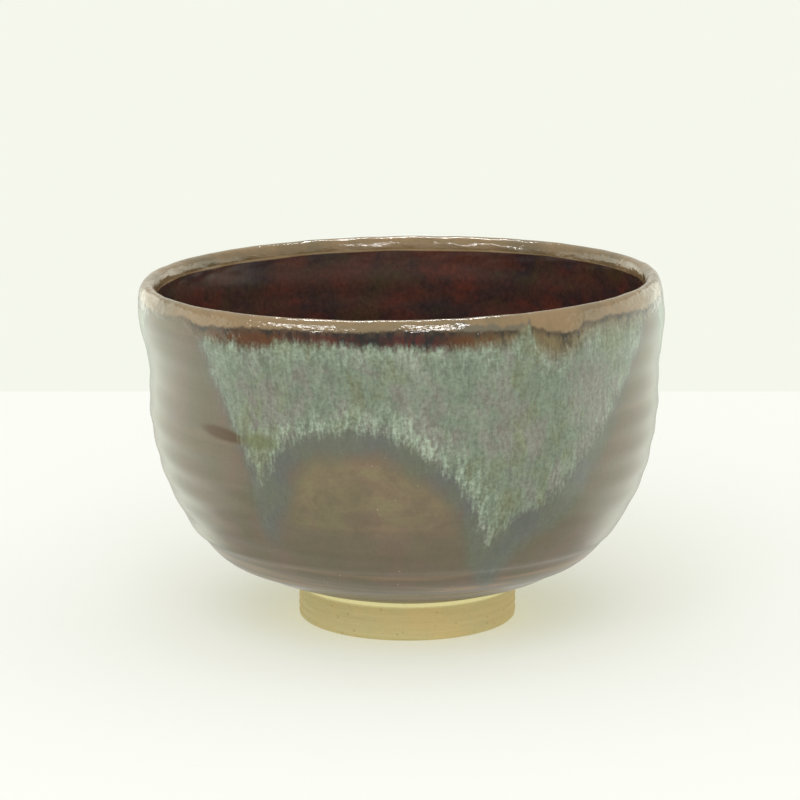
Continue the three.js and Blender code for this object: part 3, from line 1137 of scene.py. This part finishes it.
class Recipe:
    """A material's node tree, built by expressions."""

    def __init__(self, name: str, fixed: dict[str, float]) -> None:
        """Starts a material with one Principled shader.

        Args:
            name: The material's name.
            fixed: What is the same all over the surface, by the shader's socket.
        """
        self.material = bpy.data.materials.new(name)
        self.material.use_nodes = True
        self.tree = self.material.node_tree
        self.tree.nodes.clear()
        self.shader = self.node("ShaderNodeBsdfPrincipled", {}, fixed)
        self.node("ShaderNodeOutputMaterial", {}, {"Surface": self.shader.outputs[0]})

    def node(self, kind: str, settings: dict[str, object], inputs: dict[str | int, object]) -> bpy.types.Node:
        """Adds a node.

        Args:
            kind: The node's type.
            settings: Its settings, which are made first.
            inputs: Values, signals or sockets for its inputs, by name or place.

        Returns:
            The node.
        """
        node = self.tree.nodes.new(kind)
        for key, value in settings.items():
            setattr(node, key, value)
        for key, value in inputs.items():
            self.feed(node.inputs[key], value)
        return node

    def feed(self, target: Socket, value: object) -> None:
        """Links a signal or socket to an input, or sets its value."""
        if isinstance(value, Signal):
            value = value.socket
        if isinstance(value, bpy.types.NodeSocket):
            self.tree.links.new(value, target)
        else:
            target.default_value = value

    def number(self, layer: str) -> Signal:
        """A number that the piece keeps for its points."""
        node = self.node("ShaderNodeAttribute", {"attribute_name": layer}, {})
        return Signal(self, node.outputs["Fac"])

    def place(self) -> Socket:
        """The place in the bowl's frame, in millimetres."""
        source = self.node("ShaderNodeTexCoord", {}, {}).outputs["Object"]
        return self.stretched(source, (1 / MM, 1 / MM, 1 / MM))

    def stretched(self, vector: Socket, factors: tuple[float, float, float]) -> Socket:
        """A vector multiplied by factors."""
        settings = {"operation": "MULTIPLY"}
        return self.node("ShaderNodeVectorMath", settings, {0: vector, 1: factors}).outputs[0]

    def height(self, vector: Socket) -> Signal:
        """The third of a vector's numbers: the height, or the distance up the wall's sheet."""
        return Signal(self, self.node("ShaderNodeSeparateXYZ", {}, {0: vector}).outputs[2])

    def noise(
        self, vector: Socket, pitch: float, detail: float = 2.0, roughness: float = 0.5, twist: float = 0.0,
        across: float = 1.0, up: float = 1.0,
    ) -> Signal:
        """Cloudy noise from 0 to 1.

        Args:
            vector: Where it is read, in millimetres.
            pitch: The size of its patches, in millimetres.
            detail: How many finer layers it has.
            roughness: How strong the finer layers are.
            twist: How far it is distorted.
            across: What the vector's first two numbers are multiplied by: under 1 draws the patches wide.
            up: What its third number is multiplied by: under 1 draws the patches tall.

        Returns:
            The noise.
        """
        if (across, up) != (1.0, 1.0):
            vector = self.stretched(vector, (across, across, up))
        inputs = {
            "Vector": vector, "Scale": 1 / pitch, "Detail": detail, "Roughness": roughness,
            "Distortion": twist,
        }
        return Signal(self, self.node("ShaderNodeTexNoise", {}, inputs).outputs[0])

    def specks(self, vector: Socket, pitch: float, radius: float) -> Signal:
        """Small round specks: 1 at their middles and 0 between them."""
        inputs = {"Vector": vector, "Scale": 1 / pitch}
        distance = self.node("ShaderNodeTexVoronoi", {"feature": "F1"}, inputs).outputs["Distance"]
        return Signal(self, distance).step(radius / pitch, 0.3 * radius / pitch)

    def mix(self, share: Signal | float, low: Socket | Colour, high: Socket | Colour) -> Socket:
        """A colour between two: low where the share is 0 and high where it is 1."""
        settings = {"data_type": "RGBA", "blend_type": "MIX", "clamp_factor": True}
        return self.node("ShaderNodeMix", settings, {0: share, 6: low, 7: high}).outputs[2]

    def shade(self, base: Socket, amount: Signal) -> Socket:
        """A colour made lighter or darker by an amount around 1."""
        vector = self.node("ShaderNodeCombineXYZ", {}, {0: amount, 1: amount, 2: amount}).outputs[0]
        return self.node("ShaderNodeVectorMath", {"operation": "MULTIPLY"}, {0: base, 1: vector}).outputs[0]

    def bump(
        self, height: Signal, depth: float, strength: float = 1.0, under: Socket | None = None,
    ) -> Socket:
        """A normal for a height from 0 to 1 that stands for a depth in millimetres."""
        inputs = {"Height": height, "Distance": depth * MM, "Strength": strength}
        if under is not None:
            inputs["Normal"] = under
        return self.node("ShaderNodeBump", {}, inputs).outputs[0]

    def finish(self, **varying: Signal | Socket) -> bpy.types.Material:
        """Feeds what varies to the shader, by socket name with _ for spaces, and returns the material."""
        for name, value in varying.items():
            self.feed(self.shader.inputs[name.replace("_", " ")], value)
        return self.material


class WallRecipe(Recipe):
    """The outside's recipe, with the noises and numbers that its glazes share."""

    def __init__(self, name: str, fixed: dict[str, float]) -> None:
        """Starts the material and adds what is shared."""
        super().__init__(name, fixed)
        self.sheet = self.node("ShaderNodeAttribute", {"attribute_name": "sheet"}, {}).outputs["Vector"]
        self.streaks = self.noise(self.sheet, 0.62, 2.0, 0.6, 0.3, up=0.28)
        self.runs = self.noise(self.sheet, 1.9, 3.0, 0.6, 0.3, up=0.34)
        self.clouds = self.noise(self.sheet, 11.0, 3.0, 0.55, 0.4, up=0.7)
        self.drift = self.noise(self.sheet, 17.0, 2.0, 0.5, 0.3, up=0.8)
        self.mottle = self.noise(self.sheet, 0.8, 3.0, 0.7)
        self.edge, self.fringe = self.number("pour_edge"), self.number("pour_fringe")
        self.below_lip, self.below_band = self.number("below_lip"), self.number("below_band")
        self.under_arch, self.band_dark = self.number("under_arch"), self.number("band_dark")


@dataclass(frozen=True)
class BareClay:
    """The unglazed stoneware: buff, dry, with fine grog and the lines of the turning tool."""

    buff: Colour = colour(200, 187, 140)
    warm: Colour = colour(209, 187, 135)
    cream: Colour = colour(223, 210, 161)
    # pale is painted light: a near-white that lights up the down-facing strip over the foot in place of the
    # table's bounce light.
    pale: Colour = colour(255, 248, 196)
    grog: Colour = colour(157, 134, 96)
    roughness: float = 0.85

    def material(self) -> bpy.types.Material:
        """Builds the clay's material.

        Returns:
            The material.
        """
        recipe = Recipe("bare_clay", {"Roughness": self.roughness, "Specular IOR Level": 0.25})
        place = recipe.place()
        cloud = recipe.noise(place, 9.0, 3.0)
        lines = recipe.noise(place, 1.0, 3.0, 0.6, across=0.05, up=1.6)
        grain = recipe.noise(place, 0.45, 3.0, 0.7)
        grog = recipe.specks(place, 2.6, 0.5)
        up = recipe.height(place)
        base = recipe.mix(cloud.step(0.35, 0.7), self.buff, self.warm)
        base = recipe.mix(lines.step(0.5, 0.85) * 0.6, base, self.cream)
        # Painted light: from 7.4 mm up, the down-facing strip over the foot is painted lighter, standing in
        # for the bounce light from the table.
        base = recipe.mix(up.step(7.4, 8.3) * 0.85, base, self.pale)
        base = recipe.mix(grog * 0.4, base, self.grog)
        base = recipe.shade(base, grain * 0.22 + 0.89)
        normal = recipe.bump(grain, 0.10, 0.6)
        normal = recipe.bump(lines, 0.12, 0.7, normal)
        return recipe.finish(Base_Color=base, Normal=normal)


@dataclass(frozen=True)
class OutsideGlaze:
    """The outside: a mauve-brown ground, paler pours with a slate halo, and a dark band under the lip."""

    mauve: Colour = colour(105, 89, 74)
    taupe: Colour = colour(97, 89, 69)
    rose: Colour = colour(143, 116, 88)
    moss: Colour = colour(77, 72, 45)
    ochre: Colour = colour(138, 119, 90)
    lawn: Colour = colour(125, 121, 82)
    slate: Colour = colour(91, 93, 88)
    slate_green: Colour = colour(95, 98, 83)
    celadon: Colour = colour(109, 120, 103)
    lilac: Colour = colour(113, 108, 101)
    lichen: Colour = colour(113, 115, 83)
    streak: Colour = colour(152, 165, 145)
    frost: Colour = colour(180, 196, 179)
    shadow: Colour = colour(92, 96, 83)
    # Painted shade: the colour of the shadow line painted just under the lip's edge.
    lip_shadow_colour: Colour = colour(76, 62, 44)
    lip: Colour = colour(137, 113, 83)
    lip_grey: Colour = colour(117, 101, 76)
    veil: Colour = colour(97, 91, 78)
    oxblood: Colour = colour(72, 17, 7)
    ink: Colour = colour(17, 9, 10)
    amber: Colour = colour(82, 45, 7)
    bronze: Colour = colour(112, 98, 68)
    iron: Colour = colour(72, 45, 6)
    olive: Colour = colour(94, 98, 58)
    speck: Colour = colour(184, 172, 146)

    def material(self) -> bpy.types.Material:
        """Builds the outside's material.

        Returns:
            The material.
        """
        recipe = WallRecipe("outside_glaze", {"IOR": 1.46})
        streaks, runs, clouds, mottle = recipe.streaks, recipe.runs, recipe.clouds, recipe.mottle
        below_lip, below_band = recipe.below_lip, recipe.below_band

        slate = recipe.mix(clouds.step(0.4, 0.62), self.slate, self.slate_green)
        slate = recipe.shade(slate, streaks * 0.25 + mottle * 0.5 + runs * 0.3 + 0.49)
        reach = recipe.edge + recipe.under_arch * 1.1
        in_slate = (reach + runs.swing(4.0) + clouds.swing(6.0) + mottle.swing(2.0)).step(-3.0, 2.6)
        feather = recipe.fringe + streaks.swing(3.4) + runs.swing(4.6) + mottle.swing(2.0)
        in_pour = feather.step(-1.8, 1.6)
        wall = recipe.mix(in_slate, self.ground(recipe), slate)
        wall = recipe.mix(in_pour, wall, self.poured(recipe))
        iron = (recipe.number("iron") + mottle.swing(0.25) + runs.swing(0.2)).step(0.0, 0.6)
        stain = recipe.mix(in_pour, self.iron, self.olive)
        wall = recipe.mix(iron * (0.95 - in_pour * 0.3), wall, stain)

        toothed = below_band + streaks.swing(2.2) + runs.swing(3.0) + mottle.swing(1.2)
        sharpness = recipe.band_dark.step(0.1, 0.5) * 0.5 + 0.5
        base = recipe.mix((toothed * sharpness).step(1.4, -1.4), wall, self.band(recipe))
        lip_edge = below_lip + runs.swing(1.8) + mottle.swing(0.9)
        # Painted shadow: a dark line of ink and the shadow colour just under the lip's lower edge, where the
        # band reaches well below the lip, stands in for the shade under the lip's edge.
        painted_lip_shadow = lip_edge.step(1.9, 0.3) * (below_lip - below_band).step(0.6, 2.0) * 0.75
        base = recipe.mix(painted_lip_shadow, base, recipe.mix(runs.step(0.4, 0.6), self.ink, self.lip_shadow_colour))
        base = recipe.mix(lip_edge.step(0.4, -0.4), base, self.lip_colour(recipe))

        glossy = below_band.step(0.8, -0.8)
        roughness = 0.30 - glossy * 0.17 + mottle.swing(0.10)
        crawl = recipe.noise(recipe.sheet, 1.1, 2.0, 0.6, across=0.45)
        normal = recipe.bump(mottle, 0.012, 0.6)
        normal = recipe.bump(streaks, 0.015, 0.5, normal)
        normal = recipe.bump(crawl * below_band.step(1.5, 0.0), 0.20, 1.0, normal)
        return recipe.finish(Base_Color=base, Roughness=roughness, Normal=normal)

    def ground(self, recipe: WallRecipe) -> Socket:
        """The mauve-brown ground with its bands, its warmer bays under a pour, and specks.

        Args:
            recipe: The material's recipe, with its shared noises and numbers.

        Returns:
            The ground's colour.
        """
        sheet, under_arch = recipe.sheet, recipe.under_arch
        bands = recipe.noise(sheet, 3.4, 3.0, 0.6, across=0.05)
        up = recipe.height(sheet)
        low = up.step(28.0, 14.0)
        patches = recipe.noise(sheet, 6.0, 3.0, 0.6, 0.5, up=1.3)
        base = recipe.mix(recipe.clouds.step(0.34, 0.62), self.mauve, self.taupe)
        base = recipe.mix(bands.step(0.5, 0.7) * (low * 0.85 + 0.15), base, self.rose)
        base = recipe.mix(bands.step(0.48, 0.3) * (low * 0.75 + 0.15), base, self.moss)
        deep = (recipe.edge + patches.swing(6.0)).step(0.5, -4.5)
        bay = under_arch * deep * (up + recipe.drift.swing(14.0)).step(28.0, 48.0)
        warm = recipe.mix(patches.step(0.42, 0.75), self.ochre, self.lawn)
        base = recipe.mix(bay * (patches.step(0.25, 0.75) * 0.5 + 0.15), base, warm)
        base = recipe.shade(base, recipe.mottle * 0.36 + patches * 0.2 + 0.72)
        scattered = recipe.noise(sheet, 7.0, 1.0).step(0.58, 0.64)
        specks = recipe.specks(sheet, 1.5, 0.26) * scattered * under_arch * up.step(8.0, 14.0)
        return recipe.mix(specks * 0.6, base, self.speck)

    def poured(self, recipe: WallRecipe) -> Socket:
        """The paler glaze: clouds of grey-green, lilac and lichen, with fine hanging streaks.

        Args:
            recipe: The material's recipe, with its shared noises and numbers.

        Returns:
            The paler glaze's colour.
        """
        streaks, mottle = recipe.streaks, recipe.mottle
        blots = recipe.noise(recipe.sheet, 4.2, 3.0, 0.6, 0.6, up=0.6)
        tone = recipe.clouds * 0.5 + blots * 0.5
        base = recipe.mix(tone.step(0.46, 0.60), self.celadon, self.lilac)
        base = recipe.mix((recipe.drift * 0.5 + blots * 0.5).step(0.50, 0.38) * 0.8, base, self.lichen)
        rim = recipe.fringe.step(8.0, 1.0) * (recipe.under_arch * 0.75 + 0.25)
        near_edge = rim.at_least(recipe.below_band.step(9.0, 1.0) * 0.6)
        base = recipe.mix((streaks * 0.5 + mottle * 0.5).step(0.54, 0.36) * 0.35, base, self.shadow)
        texture = streaks * 0.28 + recipe.runs * 0.37 + mottle * 0.35
        base = recipe.mix(texture.step(0.38, 0.68) * (near_edge * 0.4 + 0.45), base, self.streak)
        base = recipe.mix(texture.step(0.48, 0.72) * near_edge * 0.55, base, self.frost)
        return recipe.shade(base, mottle * 0.36 + tone * 0.8 + 0.36)

    def band(self, recipe: WallRecipe) -> Socket:
        """The dark glossy band under the lip, from bronze and amber to oxblood and ink.

        Args:
            recipe: The material's recipe, with its shared noises and numbers.

        Returns:
            The band's colour.
        """
        dark = recipe.band_dark + recipe.runs.swing(0.9) + recipe.clouds.swing(0.7)
        base = recipe.mix(dark.step(0.12, 0.5), self.bronze, self.amber)
        deep = (recipe.clouds + recipe.streaks.swing(0.6)).step(0.4, 0.6)
        base = recipe.mix(dark.step(0.48, 0.9), base, recipe.mix(deep, self.oxblood, self.ink))
        base = recipe.mix(recipe.runs.step(0.52, 0.34) * 0.55, base, self.ink)
        return recipe.shade(base, recipe.streaks * 0.5 + recipe.mottle * 0.4 + 0.55)

    def lip_colour(self, recipe: WallRecipe) -> Socket:
        """The mushroom brown over the lip, with a stretch of translucent teeth.

        Args:
            recipe: The material's recipe, with its shared noises and numbers.

        Returns:
            The lip's colour.
        """
        seeped = recipe.band_dark.step(0.35, 0.95) * recipe.below_lip.step(-2.4, -0.6) * 0.8
        lip = recipe.mix(recipe.clouds.step(0.4, 0.7).at_least(seeped), self.lip, self.lip_grey)
        gaps = recipe.noise(recipe.sheet, 2.3, 1.0, up=0.3)
        hang = recipe.below_lip.step(-2.6, 0.2)
        torn = (hang * 0.55 - gaps * 1.1 + 0.55).step(0.18, 0.40)
        lip = recipe.mix(recipe.number("teeth") * torn * 0.85, lip, self.veil)
        return recipe.shade(lip, recipe.mottle * 0.26 + recipe.runs * 0.2 + 0.77)


@dataclass(frozen=True)
class InsideGlaze:
    """The inside: a deep oxblood glaze with ink, red and olive clouds, under the edge of the lip's glaze."""

    oxblood: Colour = colour(77, 47, 38)
    ink: Colour = colour(48, 38, 40)
    red: Colour = colour(91, 46, 36)
    olive: Colour = colour(64, 53, 35)
    lip: Colour = colour(146, 122, 90)

    def material(self) -> bpy.types.Material:
        """Builds the inside's material.

        Returns:
            The material.
        """
        recipe = Recipe("inside_glaze", {"IOR": 1.5, "Specular IOR Level": 0.18})
        place = recipe.place()
        clouds = recipe.noise(place, 12.0, 3.0, 0.55, 0.3, up=1.3)
        drift = recipe.noise(place, 10.0, 3.0, 0.55, 0.2, up=1.6)
        grain = recipe.noise(place, 1.1, 3.0, 0.7)
        base = recipe.mix(clouds.step(0.36, 0.7), self.oxblood, self.ink)
        base = recipe.mix(drift.step(0.48, 0.74) * 0.8, base, self.red)
        base = recipe.mix(drift.step(0.5, 0.28) * 0.7, base, self.olive)
        base = recipe.shade(base, grain * 1.2 + 0.36)
        under_lip = (recipe.number("inside_lip") + grain.swing(0.3)).step(-0.12, 0.16)
        base = recipe.mix(under_lip, self.lip, base)
        roughness = 0.20 + grain.swing(0.08)
        normal = recipe.bump(recipe.noise(place, 2.2, 2.0), 0.04, 0.5)
        return recipe.finish(Base_Color=base, Roughness=roughness, Normal=normal)


# ---- The stage -----------------------------------------------------------------------------------


@dataclass(frozen=True)
class Lamp:
    """A soft rectangular lamp that faces the bowl.

    One for gloss is seen only in the glaze's reflections; any other gives light and isn't reflected.
    """

    name: str
    direction: tuple[float, float, float]
    distance: float
    width: float
    height: float
    power: float
    for_gloss: bool = True
    tint: tuple[float, float, float] = (1.0, 1.0, 1.0)


@dataclass(frozen=True)
class Studio:
    """A pale floor that glows a little, a pale surrounding, soft lamps and the camera."""

    floor_half_width: float = 3.0
    floor_back: float = 0.249
    floor_front: float = -3.0
    floor_colour: Colour = colour(196, 196, 212)
    floor_tint: Colour = colour(245, 246, 205)
    floor_glow: float = 0.41
    surround: Colour = colour(245, 247, 236)
    surround_strength: float = 1.0
    camera_place: tuple[float, float, float] = (-0.0006, -0.73829, 0.20801)
    camera_pitch: float = 77.953
    lens: float = 147.43
    sensor: float = 36.0
    aim: tuple[float, float, float] = (0.0, 0.0, 0.06)
    lamps: tuple[Lamp, ...] = (
        Lamp("fill", (-0.15, -0.75, 0.65), 2.6, 2.4, 1.6, 26.0, for_gloss=False),
        Lamp("tube_left", (-0.62, -0.60, 0.50), 1.1, 0.62, 0.10, 5.4),
        Lamp("tube_right", (0.21, -0.80, 0.55), 1.1, 0.42, 0.10, 4.4),
        Lamp("tube_above", (-0.06, 0.48, 0.88), 1.1, 0.60, 0.09, 9.0),
        Lamp("reflector_left", (-0.87, 0.45, -0.12), 1.0, 1.6, 1.2, 8.6, tint=(0.93, 1.0, 0.86)),
        Lamp("reflector_right", (0.87, 0.45, -0.12), 1.0, 1.6, 1.2, 7.6, tint=(0.93, 1.0, 0.86)),
    )

    def build(self) -> None:
        """Puts the stage in the scene."""
        self.set_floor()
        self.set_surround()
        for lamp in self.lamps:
            self.set_lamp(lamp)
        self.set_camera()
        bpy.context.scene.view_settings.view_transform = "Standard"

    def set_floor(self) -> None:
        """The floor, which ends behind the bowl where the wall begins."""
        mesh = bmesh.new()
        bmesh.ops.create_grid(mesh, x_segments=1, y_segments=1, size=1.0)
        depth = (self.floor_back - self.floor_front) / 2
        bmesh.ops.scale(mesh, vec=(self.floor_half_width, depth, 1.0), verts=mesh.verts[:])
        bmesh.ops.translate(mesh, vec=(0.0, self.floor_back - depth, 0.0), verts=mesh.verts[:])
        data = to_data(mesh, "floor")
        floor = bpy.data.objects.new("floor", data)
        bpy.context.scene.collection.objects.link(floor)
        recipe = Recipe("floor", {
            "Base Color": self.floor_colour, "Roughness": 1.0, "Specular IOR Level": 0.0,
            "Emission Color": self.floor_tint, "Emission Strength": self.floor_glow,
        })
        data.materials.append(recipe.finish())
        floor.visible_glossy = False

    def set_surround(self) -> None:
        """The pale surrounding that lights the bowl from all sides."""
        world = bpy.data.worlds.new("surround")
        world.use_nodes = True
        background = world.node_tree.nodes["Background"]
        background.inputs["Color"].default_value = self.surround
        background.inputs["Strength"].default_value = self.surround_strength
        bpy.context.scene.world = world

    def set_lamp(self, lamp: Lamp) -> None:
        """Adds a lamp, turned to the bowl.

        Args:
            lamp: The lamp.
        """
        data = bpy.data.lights.new(lamp.name, "AREA")
        data.shape = "RECTANGLE"
        data.size = lamp.width
        data.size_y = lamp.height
        data.energy = lamp.power
        data.color = lamp.tint
        source = bpy.data.objects.new(lamp.name, data)
        source.visible_diffuse = not lamp.for_gloss
        source.visible_glossy = lamp.for_gloss
        source.visible_camera = False
        direction = Vector(lamp.direction).normalized()
        source.location = Vector(self.aim) + direction * lamp.distance
        source.rotation_euler = direction.to_track_quat("Z", "Y").to_euler()
        bpy.context.scene.collection.objects.link(source)

    def set_camera(self) -> None:
        """Adds the camera."""
        data = bpy.data.cameras.new("camera")
        data.lens = self.lens
        data.sensor_width = self.sensor
        camera = bpy.data.objects.new("camera", data)
        camera.location = self.camera_place
        camera.rotation_euler = (math.radians(self.camera_pitch), 0.0, 0.0)
        bpy.context.scene.collection.objects.link(camera)
        bpy.context.scene.camera = camera


# ---- Putting it together -------------------------------------------------------------------------


def dress(piece: bpy.types.Object, node: str, material: bpy.types.Material) -> None:
    """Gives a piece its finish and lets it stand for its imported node."""
    piece.data.materials.append(material)
    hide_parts(node)


def main() -> None:
    """Builds the stage and the bowl."""
    logging.basicConfig(level=logging.INFO, format="%(name)s %(message)s")
    Studio().build()
    potter = Potter(BowlForm.from_frame(), HandRelief())
    line = potter.line
    clay, outside, inside = BareClay().material(), OutsideGlaze().material(), InsideGlaze().material()
    ClayBody(Piece.CLAY.value, Slot.CLAY).dress(potter, clay)
    FootRing(Piece.FOOT.value, Slot.CLAY).dress(potter, clay)
    Coat(Piece.OUTSIDE.value, Slot.BROWN, 0.0, line.wall_top, row=0.55).dress(potter, outside)
    lip = Coat(Piece.LIP.value, Slot.LIP, line.wall_top, line.lip_end, row=0.2, segments=960)
    lip.dress(potter, outside)
    Coat(Piece.INSIDE.value, Slot.DARK, line.lip_end, line.middle, row=0.6).dress(potter, inside)
    for pour in POURS:
        PouredSheet(pour.name, Slot.PALE, pour).dress(potter, outside)


if __name__ == "__main__":
    main()
